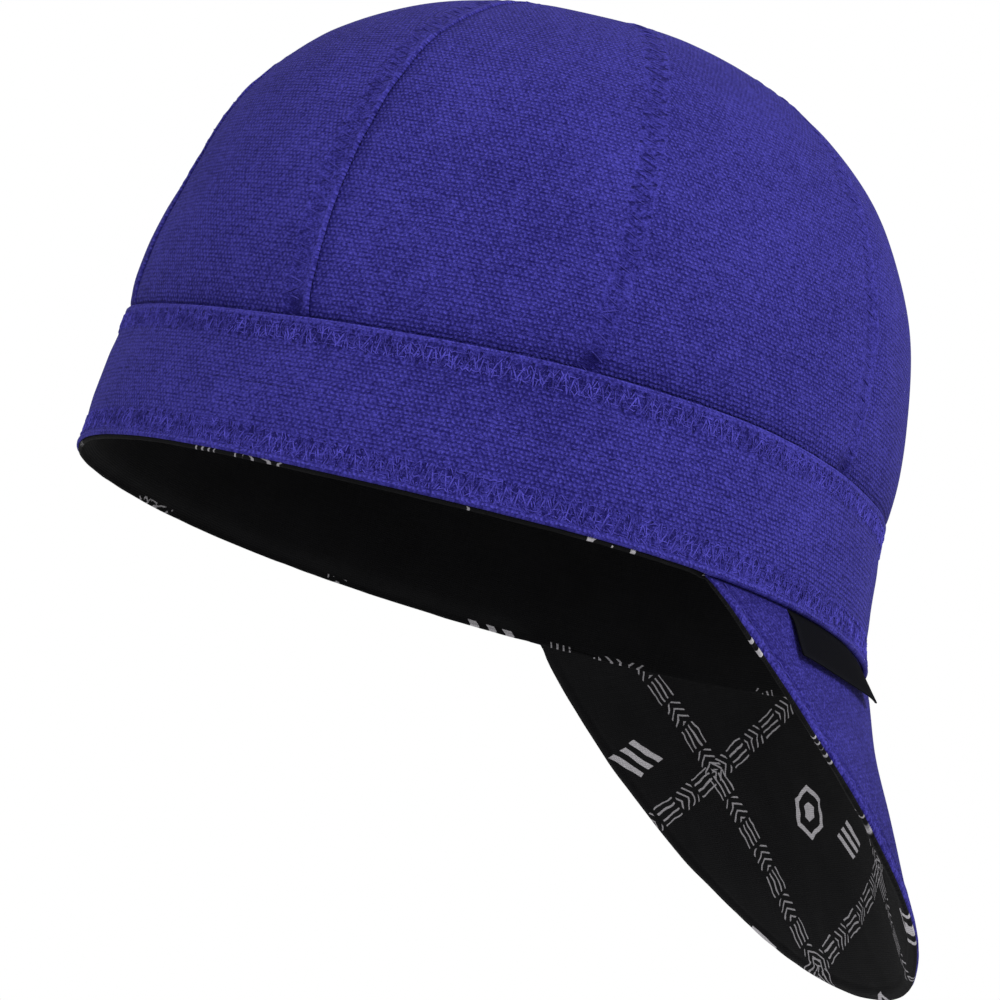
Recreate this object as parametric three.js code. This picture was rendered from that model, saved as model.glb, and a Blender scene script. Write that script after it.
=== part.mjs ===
// A soft canvas cap: eight gores over a band, a peak that hangs from the front of the band, a
// lining inside them, and a small bare tab in the seam of the band and the peak.
// Millimetres. +Z is up and +Y is the front. The origin is the middle of the rim, where the head
// goes in. A turn is an angle round the head, 0 at the front and a quarter turn at +X.

import * as THREE from 'three';

// Head opening and crown, measured outside
const rimLength = 200;
const rimWidth = 171;
const crownHeight = 137;
const bandHeight = 35.8;

// Cloth and the space that two sewn layers keep
const canvasWall = 1;
const liningWall = 1;
const tabWall = 1;
const layerGap = 0.3;

// Crown
const goreCount = 8;
const crownTurn = -2.3 * THREE.MathUtils.DEG2RAD; // turn of the seam nearest the peak's middle
const crownEye = 1.2; // radius of the hole that the tips of the gores leave
const seamSink = 0.7; // how far the cloth dips along a seam
const seamSpread = 5; // half the width of that dip
const rollHeight = 4; // the height in which cloth that leaves a seam swells out

// Band
const bandTaper = 0.027; // share by which the top edge is smaller than the rim
const frontFlare = 2.6; // how far the stiff peak pushes the front of the rim out
const flareTurn = 28.4 * THREE.MathUtils.DEG2RAD;
const flareTop = 16.8; // height at which the flare has gone

// Peak
const peakLength = 76.7;
const peakEnd = 3; // length left at both ends of the peak
const peakTurn = 67.5 * THREE.MathUtils.DEG2RAD; // from the front to an end
const peakTuck = 8; // sewn in behind the band, at the front
const tuckEnd = 0.6; // the same at the ends of the peak
const peakLean = 23.3 * THREE.MathUtils.DEG2RAD; // from upright, at the front
const sideLean = 15.9 * THREE.MathUtils.DEG2RAD; // added at both ends
const peakBend = 5.1 * THREE.MathUtils.DEG2RAD; // steeper by this where it starts
const peakFan = 57.6 * THREE.MathUtils.DEG2RAD; // heading of both ends, away from the front
const fanEase = 0.353; // share by which the middle fans out less than the ends

// Tab, between two turns
const tabFront = 33 * THREE.MathUtils.DEG2RAD;
const tabBack = 53.2 * THREE.MathUtils.DEG2RAD;
const tabSlant = 7.4 * THREE.MathUtils.DEG2RAD; // its front end slants forward by this
const tabFrontDrop = 11.3;
const tabBackDrop = 13.8;
const tabStand = 1.2; // how far its lower edge stands off the peak

// Powers that set how round the crown's wall, its top and the peak's outline are
const wallRoundness = 0.797;
const topRoundness = 0.81;
const outlineRoundness = 2.3;
const cornerRoundness = 0.923;

// Waves of the rim and of the band's top edge, as shares of the band's height: each repeats so
// many times round the head, in step with the front and with the side at +X.
const waves = [
  { times: 1, rimFront: 0, rimSide: 0, topFront: 0.01, topSide: 0.001 },
  { times: 2, rimFront: 0.004, rimSide: 0.04, topFront: -0.017, topSide: 0.016 },
  { times: 3, rimFront: -0.022, rimSide: 0.006, topFront: 0.01, topSide: -0.029 },
];

// Steps of the grids
const goreColumns = 8;
const crownRows = 9;
const bandRows = 2;
const tuckRows = 2;
const peakRows = 8;
const tabColumns = 5;
const tabRows = 3;

const halfLength = rimLength / 2;
const halfWidth = rimWidth / 2;
const goreTurn = (2 * Math.PI) / goreCount;
const tuckDepth = canvasWall + layerGap;
const flareLevel = flareTop / bandHeight;
const eyeReach = (crownEye / halfWidth / (1 - bandTaper)) ** (1 / wallRoundness);
const eyeClimb = Math.acos(eyeReach) / (Math.PI / 2);

const canvas = new THREE.MeshStandardMaterial({ color: '#343080', roughness: 0.9, metalness: 0 });
const lining = new THREE.MeshStandardMaterial({ color: '#0c0c0e', roughness: 0.85, metalness: 0 });
const tabCloth = new THREE.MeshStandardMaterial({ color: '#101116', roughness: 0.6, metalness: 0 });

// Heights of the rim and of the band's top edge at a turn

function waveHeight(turn, front, side) {
  const share = waves.reduce((sum, wave) => sum
    + wave[front] * Math.cos(wave.times * turn)
    + wave[side] * Math.sin(wave.times * turn), 0);
  return bandHeight * share;
}

function rimHeight(turn) {
  return waveHeight(turn, 'rimFront', 'rimSide');
}

function topEdgeHeight(turn) {
  return rimHeight(turn) + bandHeight + waveHeight(turn, 'topFront', 'topSide');
}

// The outer form of the cap: level runs from 0 at the rim to 1 at the band's top edge and on to
// 2 at the top of the crown.

function capSkin(turn, level) {
  return level < 1 ? bandSkin(turn, level) : crownSkin(turn, level - 1);
}

function bandSkin(turn, level) {
  const fade = Math.max(0, 1 - level / flareLevel) ** 2;
  const flare = frontFlare * Math.exp(-((turn / flareTurn) ** 2)) * fade;
  const size = 1 - bandTaper * level + flare / halfLength;
  const height = THREE.MathUtils.lerp(rimHeight(turn), topEdgeHeight(turn), level);
  return ringPoint(turn, size, height);
}

function crownSkin(turn, climb) {
  const angle = climb * (Math.PI / 2);
  const size = (1 - bandTaper) * Math.cos(angle) ** wallRoundness;
  const share = Math.sin(angle) ** topRoundness;
  return ringPoint(turn, size, THREE.MathUtils.lerp(topEdgeHeight(turn), crownHeight, share));
}

function ringPoint(turn, size, height) {
  return new THREE.Vector3(halfWidth * size * Math.sin(turn), halfLength * size * Math.cos(turn), height);
}

function outward(skin, turn, along) {
  const step = 1e-3;
  const round = skin(turn + step, along).sub(skin(turn - step, along));
  const up = skin(turn, along + step).sub(skin(turn, along - step));
  return up.cross(round).normalize();
}

// How much of its full swell the cloth has at a distance from the seam that it leaves
function swell(distance) {
  return 1 - Math.exp(-distance / rollHeight);
}

// Depth of the crown's cloth under the outer form: tucked in behind the band, out above it, and
// dipping along the seams of the gores
function crownDepth(turn, level) {
  const point = capSkin(turn, level);
  const out = swell(Math.max(0, point.z - topEdgeHeight(turn)));
  const seams = (turn - crownTurn) / goreTurn;
  const fromSeam = Math.abs(seams - Math.round(seams)) * goreTurn;
  const distance = fromSeam * Math.hypot(point.x, point.y);
  const dip = seamSink * Math.exp(-((distance / seamSpread) ** 2));
  return tuckDepth * (1 - out) + dip * out;
}

function capPoint(turn, level, depth) {
  return capSkin(turn, level).addScaledVector(outward(capSkin, turn, level), -depth);
}

// The peak: reach runs from 0 at the rim to 1 at its free edge

function peakReachLength(turn) {
  const share = Math.min(1, Math.abs(turn / peakTurn));
  const outline = (1 - share ** outlineRoundness) ** cornerRoundness;
  return THREE.MathUtils.lerp(peakEnd, peakLength, outline);
}

function peakSkin(turn, reach) {
  const share = turn / peakTurn;
  const middle = 1 - share ** 2;
  const heading = peakFan * Math.sin(share * (Math.PI / 2)) * (1 - fanEase * middle);
  const lean = peakLean + sideLean * share ** 2 + peakBend * (reach - 1) * middle;
  const out = Math.sin(lean);
  const direction = new THREE.Vector3(out * Math.sin(heading), out * Math.cos(heading), -Math.cos(lean));
  return bandSkin(turn, 0).addScaledVector(direction, peakReachLength(turn) * reach);
}

function peakOutward(turn, reach) {
  const free = outward((a, b) => peakSkin(a, -b), turn, -reach);
  const share = swell(peakReachLength(turn) * reach);
  return outward(capSkin, turn, 0).lerp(free, share).normalize();
}

function peakDepth(turn, reach) {
  return tuckDepth * (1 - swell(peakReachLength(turn) * reach));
}

function peakPoint(turn, reach, depth) {
  return peakSkin(turn, reach).addScaledVector(peakOutward(turn, reach), -depth);
}

function tuckHeight(turn) {
  return tuckEnd + (peakTuck - tuckEnd) * Math.max(0, 1 - (turn / peakTurn) ** 2);
}

// Grids: a row is a list of points in order of their turns, and rows go up

const goreShares = Array.from({ length: goreColumns + 1 }, (_, column) => (
  (1 - Math.cos((Math.PI * column) / goreColumns)) / 2));

function seamTurn(gore) {
  return crownTurn - Math.PI + goreTurn * gore;
}

const capTurns = Array.from({ length: goreCount }, (_, gore) => (
  goreShares.slice(0, -1).map((share) => seamTurn(gore + share)))).flat();

const peakTurns = [
  -peakTurn,
  ...capTurns.filter((turn) => Math.abs(turn) < peakTurn - 1e-6),
  peakTurn,
];

function evenSteps(from, to, count) {
  return Array.from({ length: count + 1 }, (_, step) => THREE.MathUtils.lerp(from, to, step / count));
}

function bandLevels(bottom) {
  return [...evenSteps(bottom, flareLevel, bandRows), 1];
}

const crownLevels = evenSteps(0, 1, crownRows).slice(1).map((share) => 1 + eyeClimb * share ** 1.5);

// A cloth wall between two grids of points. A ring joins its last column to its first, and a top
// row of one point closes it.
function wall(outer, inner, ring = false) {
  const rows = [outer, inner];
  const vertices = [];
  const numbers = rows.map((side) => side.map((row) => row.map((point) => {
    vertices.push(point.x, point.y, point.z);
    return vertices.length / 3 - 1;
  })));
  const index = [];
  const quad = (a, b, c, d) => index.push(a, b, c, a, c, d);
  const last = outer.length - 1;
  const columns = outer[0].length;
  const spans = ring ? columns : columns - 1;

  for (const [side, grid] of numbers.entries()) {
    for (let row = 0; row < last; row += 1) {
      for (let column = 0; column < spans; column += 1) {
        const next = (column + 1) % columns;
        const [a, b] = side ? [next, column] : [column, next];
        if (grid[row + 1].length === 1) index.push(grid[row][a], grid[row + 1][0], grid[row][b]);
        else quad(grid[row][a], grid[row + 1][a], grid[row + 1][b], grid[row][b]);
      }
    }
  }
  const [out, back] = numbers;
  for (let column = 0; column < spans; column += 1) {
    const next = (column + 1) % columns;
    quad(out[0][column], out[0][next], back[0][next], back[0][column]);
    if (out[last].length > 1) quad(out[last][next], out[last][column], back[last][column], back[last][next]);
  }
  if (!ring) {
    const end = columns - 1;
    for (let row = 0; row < last; row += 1) {
      quad(out[row + 1][0], out[row][0], back[row][0], back[row + 1][0]);
      quad(out[row][end], out[row + 1][end], back[row + 1][end], back[row][end]);
    }
  }
  const geometry = new THREE.BufferGeometry();
  geometry.setAttribute('position', new THREE.Float32BufferAttribute(vertices, 3));
  geometry.setIndex(index);
  geometry.computeVertexNormals();
  return geometry;
}

function piece(name, geometry, material) {
  const mesh = new THREE.Mesh(geometry, material);
  mesh.name = name;
  return mesh;
}

// Both faces of a wall that follows the cap, from a bottom level at each turn
function capGrid(turns, levelsAt, depthAt) {
  const count = levelsAt(0).length;
  return Array.from({ length: count }, (_, row) => turns.map((turn) => {
    const level = levelsAt(turn)[row];
    return capPoint(turn, level, depthAt(turn, level));
  }));
}

// The band covers the lower ends of the gores and the sewn edge of the peak.
function band() {
  const levels = () => bandLevels(0);
  const outer = capGrid(capTurns, levels, () => 0);
  const inner = capGrid(capTurns, levels, () => canvasWall);
  return piece('band', wall(outer, inner, true), canvas);
}

// A gore reaches down behind the band nearly to the rim, or to the sewn edge of the peak.
function goreBottom(turn) {
  return (tuckHeight(turn) + layerGap) / bandHeight;
}

// A gore's columns run between its two seams, and leave half the gap at each.
function gorePoint(gore, share, row, extraDepth) {
  const even = seamTurn(gore + share);
  const level = [...bandLevels(goreBottom(even)), ...crownLevels][row];
  const middle = capSkin(seamTurn(gore + 0.5), level);
  const inset = layerGap / 2 / Math.hypot(middle.x, middle.y);
  const turn = THREE.MathUtils.lerp(seamTurn(gore) + inset, seamTurn(gore + 1) - inset, share);
  return capPoint(turn, level, crownDepth(even, level) + extraDepth);
}

function gore(number) {
  const rows = bandRows + 2 + crownRows;
  const grid = (extraDepth) => Array.from({ length: rows }, (_, row) => (
    goreShares.map((share) => gorePoint(number, share, row, extraDepth))));
  return piece(`gore_${number + 1}`, wall(grid(0), grid(canvasWall)), canvas);
}

// The lining follows the gores inside them and closes at the top.
function capLining() {
  const levels = () => [...bandLevels(0), ...crownLevels];
  const face = (extraDepth) => [
    ...capGrid(capTurns, levels, (turn, level) => crownDepth(turn, level) + extraDepth),
    [new THREE.Vector3(0, 0, crownHeight - seamSink - extraDepth)],
  ];
  const outer = face(canvasWall + layerGap);
  const inner = face(canvasWall + layerGap + liningWall);
  return piece('cap_lining', wall(outer, inner, true), lining);
}

// The peak's two layers: the cover is sewn in behind the band, and the lining starts at the rim.
function peakGrid(reaches, extraDepth) {
  return reaches.map((reach) => peakTurns.map((turn) => (
    peakPoint(turn, reach, peakDepth(turn, reach) + extraDepth))));
}

function peakCover() {
  const reaches = evenSteps(1, 0, peakRows).slice(0, -1);
  const tucked = (extraDepth) => evenSteps(0, 1, tuckRows).map((share) => peakTurns.map((turn) => (
    capPoint(turn, (share * tuckHeight(turn)) / bandHeight, tuckDepth + extraDepth))));
  const face = (extraDepth) => [...peakGrid(reaches, extraDepth), ...tucked(extraDepth)];
  return piece('peak_cover', wall(face(0), face(canvasWall)), canvas);
}

function peakLining() {
  const reaches = evenSteps(1, 0, peakRows).slice(0, -1);
  const rootRow = (extraDepth) => peakTurns.map((turn) => {
    const reach = layerGap / peakReachLength(turn);
    return peakPoint(turn, reach, peakDepth(turn, reach) + extraDepth);
  });
  const face = (extraDepth) => [...peakGrid(reaches, extraDepth), rootRow(extraDepth)];
  const outer = face(canvasWall + layerGap);
  const inner = face(canvasWall + layerGap + liningWall);
  return piece('peak_lining', wall(outer, inner), lining);
}

// The tab hangs from the rim over the peak's cover, and its lower edge stands off it.
function sideTab() {
  const columns = evenSteps(0, 1, tabColumns);
  const face = (rise) => evenSteps(1, 0, tabRows).map((share) => columns.map((column) => {
    const turn = THREE.MathUtils.lerp(tabFront - tabSlant * share, tabBack, column);
    const drop = THREE.MathUtils.lerp(tabFrontDrop, tabBackDrop, column);
    const reach = THREE.MathUtils.lerp(layerGap, drop, share) / peakReachLength(turn);
    const lift = layerGap + tabStand * share ** 2 + rise;
    return peakPoint(turn, reach, peakDepth(turn, reach) - lift);
  }));
  return piece('side_tab', wall(face(tabWall), face(0)), tabCloth);
}

const cap = new THREE.Group();
cap.add(band());
for (let number = 0; number < goreCount; number += 1) cap.add(gore(number));
cap.add(capLining(), peakCover(), peakLining(), sideTab());

export default cap;
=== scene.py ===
from math import acos, cos, hypot, pi, radians, sin, sqrt

import bmesh
import bpy
import numpy as np
from mathutils import Matrix, Vector


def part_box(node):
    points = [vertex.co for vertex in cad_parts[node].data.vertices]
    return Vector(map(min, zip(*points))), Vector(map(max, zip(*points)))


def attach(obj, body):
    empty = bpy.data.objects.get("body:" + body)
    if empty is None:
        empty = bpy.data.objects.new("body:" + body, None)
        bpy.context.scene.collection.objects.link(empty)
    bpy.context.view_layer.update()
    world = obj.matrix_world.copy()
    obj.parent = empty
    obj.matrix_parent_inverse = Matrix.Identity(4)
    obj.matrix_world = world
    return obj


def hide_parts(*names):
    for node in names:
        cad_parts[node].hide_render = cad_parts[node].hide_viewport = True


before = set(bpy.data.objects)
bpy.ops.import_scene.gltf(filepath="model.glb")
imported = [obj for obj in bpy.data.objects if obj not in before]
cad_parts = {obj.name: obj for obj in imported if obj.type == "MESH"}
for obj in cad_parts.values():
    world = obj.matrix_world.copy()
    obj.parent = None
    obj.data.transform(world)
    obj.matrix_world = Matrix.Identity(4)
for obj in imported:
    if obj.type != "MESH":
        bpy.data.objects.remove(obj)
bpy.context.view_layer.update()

# A soft canvas cap, in metres. A turn is an angle round the head, 0 at the front and a quarter
# turn at +X. A level runs from 0 at the rim to 1 at the band's top edge and 2 at the top.

MM = 0.001

# The form, as the solids have it
RIM_HALF_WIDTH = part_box("band")[1].x
RIM_HALF_LENGTH = -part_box("band")[0].y
CROWN_HEIGHT = 137 * MM
BAND_HEIGHT = 35.8 * MM
BAND_TAPER = 0.027  # share by which the top edge is smaller than the rim
FRONT_FLARE = 2.6 * MM  # how far the peak pushes the front of the rim out
FLARE_TURN = radians(28.4)
FLARE_LEVEL = 16.8 * MM / BAND_HEIGHT
WALL_ROUNDNESS = 0.797
TOP_ROUNDNESS = 0.81
GORES = 8
GORE_TURN = 2 * pi / GORES
CROWN_TURN = radians(-2.3)  # turn of the seam nearest the peak's middle
EYE_SHARE = 0.3 * MM / RIM_HALF_WIDTH / (1 - BAND_TAPER)  # of the hole left at the top
CROWN_TOP = 1 + acos(EYE_SHARE ** (1 / WALL_ROUNDNESS)) / (pi / 2)

PEAK_LENGTH = 76.7 * MM
PEAK_END = 0.6 * MM  # length left at both ends
PEAK_TURN = radians(67.5)  # from the front to an end
PEAK_LEAN = radians(23.3)  # from upright, at the front
SIDE_LEAN = radians(15.9)  # added at both ends
FAR_LEAN = radians(4.4)  # added on the -X side, which curls up more
FAR_END = 0.97  # share of the peak's turn at which its -X side ends
PEAK_BEND = radians(5.1)  # steeper by this where it starts
PEAK_FAN = radians(57.6)  # heading of both ends, away from the front
FAN_EASE = 0.353  # share by which the middle fans out less than the ends
OUTLINE_ROUNDNESS = 2.3
CORNER_ROUNDNESS = 0.923

# Waves of the rim and the band's top edge, as shares of the band's height: how many times each
# repeats round the head, and its share in step with the front and with the side at +X
RIM_WAVES = ((2, 0.004, 0.04), (3, -0.022, 0.006))
TOP_WAVES = ((1, 0.01, 0.001), (2, -0.017, 0.016), (3, 0.01, -0.029))

# Cloth
CANVAS = 1.0 * MM
LAYER_GAP = 0.3 * MM
ROLL_HEIGHT = 3.2 * MM  # how soon cloth that leaves a seam swells out


# Form

def from_front(turn):
    """Angle from the front, either way round."""
    return np.abs((turn + pi) % (2 * pi) - pi)


def wave_height(turn, waves):
    share = sum(front * np.cos(times * turn) + side * np.sin(times * turn)
                for times, front, side in waves)
    return BAND_HEIGHT * share


def cap_skin(turn, level):
    """Points of the cap's outer form."""
    turn, level = np.broadcast_arrays(np.asarray(turn, float), np.asarray(level, float))
    low = np.clip(level, None, 1)
    angle = np.clip(level - 1, 0, 1) * pi / 2
    fade = np.clip(1 - low / FLARE_LEVEL, 0, None) ** 2
    flare = FRONT_FLARE * np.exp(-(from_front(turn) / FLARE_TURN) ** 2) * fade / RIM_HALF_LENGTH
    size = np.where(level < 1, 1 - BAND_TAPER * low + flare,
                    (1 - BAND_TAPER) * np.clip(np.cos(angle), 0, 1) ** WALL_ROUNDNESS)
    rim = wave_height(turn, RIM_WAVES)
    edge = rim + BAND_HEIGHT + wave_height(turn, TOP_WAVES)
    share = np.sin(angle) ** TOP_ROUNDNESS
    height = np.where(level < 1, rim + (edge - rim) * level, edge + (CROWN_HEIGHT - edge) * share)
    return np.stack([RIM_HALF_WIDTH * size * np.sin(turn),
                     RIM_HALF_LENGTH * size * np.cos(turn), height], -1)


def unit(vectors):
    return vectors / np.maximum(np.linalg.norm(vectors, axis=-1, keepdims=True), 1e-12)


def outward(skin, turn, along):
    """Outward ways of a form at its points."""
    step = 1e-3
    round_way = skin(turn + step, along) - skin(turn - step, along)
    up = skin(turn, along + step) - skin(turn, along - step)
    return unit(np.cross(up, round_way))


def cap_lie(turn, level, top=CROWN_TOP - 2e-3):
    """Points of the cap's outer form, with their outward ways."""
    return cap_skin(turn, level), outward(cap_skin, turn, np.clip(level, 2e-3, top))


def inside(skin, ways, depth):
    """Points at a depth inside a form, in millimetres."""
    return skin - ways * depth[..., None] * MM


def swell(distance):
    """Share of its full swell that cloth has at a distance from the seam that it leaves."""
    return 1 - np.exp(-np.clip(distance, 0, None) / ROLL_HEIGHT)


def peak_length(turn):
    share = np.clip(np.abs(turn / PEAK_TURN) / np.where(turn < 0, FAR_END, 1), 0, 1)
    return PEAK_END + (PEAK_LENGTH - PEAK_END) * (1 - share ** OUTLINE_ROUNDNESS) ** CORNER_ROUNDNESS


def peak_skin(turn, reach):
    """Points of the peak's outer form: reach is 0 at the rim and 1 at the free edge."""
    turn, reach = np.broadcast_arrays(np.asarray(turn, float), np.asarray(reach, float))
    share = turn / PEAK_TURN
    middle = 1 - share ** 2
    heading = PEAK_FAN * np.sin(share * pi / 2) * (1 - FAN_EASE * middle)
    lean = PEAK_LEAN + SIDE_LEAN * share ** 2 + FAR_LEAN * np.clip(-share, 0, 1) ** 2 \
        + PEAK_BEND * (reach - 1) * middle
    direction = np.stack([np.sin(lean) * np.sin(heading), np.sin(lean) * np.cos(heading),
                          -np.cos(lean)], -1)
    return cap_skin(turn, 0) + direction * (peak_length(turn) * reach)[..., None]


def peak_outward(turn, reach):
    free = outward(lambda a, b: peak_skin(a, -b), turn, -reach)
    share = swell(peak_length(turn) * reach)[..., None]
    return unit(outward(cap_skin, turn, 0) * (1 - share) + free * share)


def field(points, size, seed, terms=24):
    """A smooth random field from about -1 to 1, with waves about size long."""
    draw = np.random.default_rng(seed)
    ways = unit(draw.normal(size=(terms, 3))) * (2 * pi / size) * draw.uniform(0.6, 1.5, (terms, 1))
    phases = draw.uniform(0, 2 * pi, terms)
    return np.sin(points @ ways.T + phases).sum(-1) / sqrt(terms)


def bell(distance, width):
    return np.exp(-(distance / width) ** 2)


def ridges(place, rows):
    """Sum of ridges and grooves, each with its middle, its width and how far it stands out."""
    return sum(rise * bell(place - middle, width) for middle, width, rise in rows)


def ease(value, low, high):
    """0 below low, 1 above high and a smooth step between."""
    share = np.clip((value - low) / (high - low), 0, 1)
    return share * share * (3 - 2 * share)


def lengths(points):
    """Distance along a row of points, in millimetres."""
    steps = np.linalg.norm(np.diff(points, axis=0), axis=1)
    return np.concatenate([[0], np.cumsum(steps)]) / MM


# Meshes

# Points round a wall's edge: the outer face's share, and how far past the edge, in half walls
EDGE_ROUND = ((0.85, 0.55), (0.5, 0.9), (0.15, 0.55))


def new_object(name, data):
    obj = bpy.data.objects.new(name, data)
    bpy.context.scene.collection.objects.link(obj)
    return obj


def object_from(name, vertices, faces, corner_uv=None, values=None):
    """A smooth mesh object at the origin, with a UV map in millimetres of cloth."""
    mesh = bpy.data.meshes.new(name)
    mesh.from_pydata(np.asarray(vertices).tolist(), [], faces)
    if corner_uv is not None:
        layer = mesh.uv_layers.new(name="cloth")
        layer.data.foreach_set("uv", np.asarray(corner_uv, dtype=np.float32).ravel())
    for key, numbers in (values or {}).items():
        attribute = mesh.attributes.new(key, "FLOAT", "POINT")
        attribute.data.foreach_set("value", np.asarray(numbers, dtype=np.float32).ravel())
    mesh.shade_smooth()
    mesh.validate()
    mesh.update()
    return new_object(name, mesh)


def cloth_wall(name, outer, inner, uv, ring=False, values=None, closed_top=False):
    """A wall of cloth between two grids of points, with rounded edges.

    A row runs round the head and rows go up. uv has a column more than the points on a ring."""
    rows, columns = outer.shape[:2]
    count = rows * columns
    spans = columns if ring else columns - 1
    faces, corners = [], []

    def corner(row, column):
        return row * columns + column % columns

    for row in range(rows - 1):
        for column in range(spans):
            keys = [(row, column), (row + 1, column), (row + 1, column + 1), (row, column + 1)]
            for offset, order in ((0, 1), (count, -1)):
                faces.append([offset + corner(*key) for key in keys[::order]])
                corners.extend(uv[key] for key in keys[::order])

    # Each point of the open edges, with its neighbour inwards
    bottom = [((0, c), (1, c)) for c in range(columns)]
    top = [((rows - 1, c), (rows - 2, c)) for c in range(columns)]
    if ring:
        loops = [bottom] if closed_top else [bottom, top[::-1]]
    else:
        up_end = [((r, columns - 1), (r, columns - 2)) for r in range(rows)]
        down_start = [((r, 0), (r, 1)) for r in range(rows)][::-1]
        loops = [bottom + up_end[1:] + top[::-1][1:] + down_start[1:-1]]

    base = 2 * count
    extra = []
    for loop in loops:
        edge_keys = [key for key, _ in loop]
        rim = np.array([outer[key] for key in edge_keys])
        back = np.array([inner[key] for key in edge_keys])
        way = unit(rim - np.array([outer[key] for _, key in loop]))
        half = np.linalg.norm(rim - back, axis=1, keepdims=True) / 2
        extra.extend(rim * share + back * (1 - share) + way * half * past for share, past in EDGE_ROUND)
        size = len(edge_keys)
        first = [corner(*key) for key in edge_keys]
        strands = [first]
        for _ in EDGE_ROUND:
            strands.append(list(range(base, base + size)))
            base += size
        strands.append([count + index for index in first])
        for here, there in zip(strands, strands[1:]):
            for i in range(size):
                j = (i + 1) % size
                faces.append([here[i], here[j], there[j], there[i]])
                key_i, key_j = edge_keys[i], edge_keys[j]
                if ring and j == 0 and key_j[1] == 0:
                    key_j = (key_j[0], columns)
                elif ring and j == 0:
                    key_i = (key_i[0], columns)
                    key_j = (key_j[0], columns - 1)
                corners.extend([uv[key_i], uv[key_j], uv[key_j], uv[key_i]])

    points = np.vstack([outer.reshape(-1, 3), inner.reshape(-1, 3)] + extra)
    if closed_top:
        for offset, grid, order in ((0, outer, 1), (count, inner, -1)):
            tip = len(points)
            points = np.vstack([points, grid[-1].mean(0)])
            for column in range(spans):
                face = [offset + corner(rows - 1, column), tip, offset + corner(rows - 1, column + 1)]
                faces.append(face[::order])
                corners.extend([uv[rows - 1, column]] * 3)
    edge_points = [corner(*key) for loop in loops for _ in EDGE_ROUND for key, _ in loop]
    spread = {}
    for key, numbers in (values or {}).items():
        flat = np.broadcast_to(numbers, (rows, columns)).ravel()
        spread[key] = np.concatenate([flat, flat, flat[edge_points], np.zeros(2 * closed_top)])
    return object_from(name, points, faces, corners, spread)


# Nodes

def operator(operation, order=1):
    """A method of Number that adds a node of maths. Order -1 swaps its two values."""
    return lambda *values: values[0].tree.maths(operation, *values[::order])


class Number:
    """A number in a tree of nodes, with Python's operators."""

    def __init__(self, tree, socket):
        self.tree, self.socket = tree, socket

    __add__ = __radd__ = operator("ADD")
    __sub__, __rsub__ = operator("SUBTRACT"), operator("SUBTRACT", -1)
    __mul__ = __rmul__ = operator("MULTIPLY")
    __mod__, __lt__, __abs__ = operator("FLOORED_MODULO"), operator("LESS_THAN"), operator("ABSOLUTE")


class Tree:
    """The nodes of a material or of a repeat."""

    def __init__(self, nodes):
        self.nodes = nodes

    def add(self, kind, settings=None, inputs=None):
        """A node. As an input of another node, it stands for its first output."""
        node = self.nodes.nodes.new(kind)
        for key, value in (settings or {}).items():
            setattr(node, key, value)
        for key, value in (inputs or {}).items():
            value = getattr(value, "socket", value)
            if isinstance(value, bpy.types.Node):
                value = value.outputs[0]
            if isinstance(value, bpy.types.NodeSocket):
                self.nodes.links.new(value, node.inputs[key])
            else:
                node.inputs[key].default_value = value
        return node

    def maths(self, operation, *values):
        node = self.add("ShaderNodeMath", {"operation": operation}, dict(enumerate(values)))
        return Number(self, node.outputs[0])

    def between(self, value, low, high):
        """The smooth step of ease, as a node."""
        node = self.add("ShaderNodeMapRange", {"interpolation_type": "SMOOTHSTEP"},
                        {"Value": value, "From Min": low, "From Max": high})
        return Number(self, node.outputs[0])

    def vector(self, *parts):
        return self.add("ShaderNodeCombineXYZ", inputs=dict(enumerate(parts)))


class Finish(Tree):
    """A material, with its place on the cloth in millimetres."""

    def __init__(self, name):
        self.material = bpy.data.materials.new(name)
        self.material.use_nodes = True
        super().__init__(self.material.node_tree)
        self.nodes.nodes.clear()
        self.place = self.add("ShaderNodeTexCoord").outputs["Object"]
        cloth = self.add("ShaderNodeUVMap", {"uv_map": "cloth"})
        split = self.add("ShaderNodeSeparateXYZ", inputs={0: cloth})
        self.u, self.v = (Number(self, split.outputs[axis]) for axis in (0, 1))

    def noise(self, scale, detail=2.0, roughness=0.5, place=None):
        """Noise in the cloth's own place, in waves a metre, or in another."""
        node = self.add("ShaderNodeTexNoise", inputs={
            "Vector": place or self.place, "Scale": scale, "Detail": detail, "Roughness": roughness})
        return Number(self, node.outputs[0])

    def cloth_noise(self, across, up, layer, scale=1.0, detail=2.0):
        """Noise on the cloth, stretched across it and up it. Each layer has other noise."""
        return self.noise(scale, detail, place=self.vector(self.u * across, self.v * up, layer))

    def value(self, name):
        node = self.add("ShaderNodeAttribute", {"attribute_name": name})
        return Number(self, node.outputs["Fac"])

    def mix(self, share, first, second):
        node = self.add("ShaderNodeMix", {"data_type": "RGBA"}, {0: share, 6: first, 7: second})
        return node.outputs[2]

    def finish(self, color, roughness, height, relief, **constants):
        """Ends the material: relief is the height of its bump in millimetres."""
        bump = self.add("ShaderNodeBump", inputs={
            "Height": height, "Strength": 1.0, "Distance": relief * MM})
        inputs = {"Base Color": color, "Roughness": roughness, "Normal": bump}
        inputs.update({key.replace("_", " "): value for key, value in constants.items()})
        shader = self.add("ShaderNodeBsdfPrincipled", inputs=inputs)
        self.add("ShaderNodeOutputMaterial", inputs={"Surface": shader})
        return self.material


# Finishes. A canvas reads four attributes: its wear and painted light and shade, the distance across from
# the middle line of the nearest stitches in millimetres, the count of stitches along it, and how deep they
# are drawn, which sets both their grooves' relief and the shade painted into them. The peak leaves the last
# two out, so they read 0.

# Pitches of the weave, in millimetres up and across
ROW_PITCH, BUMP_PITCH = 1.02, 1.12
LINING_ROW, LINING_BUMP = 0.52, 0.5
TAB_RIB, TAB_YARN = 0.55, 0.42

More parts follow.
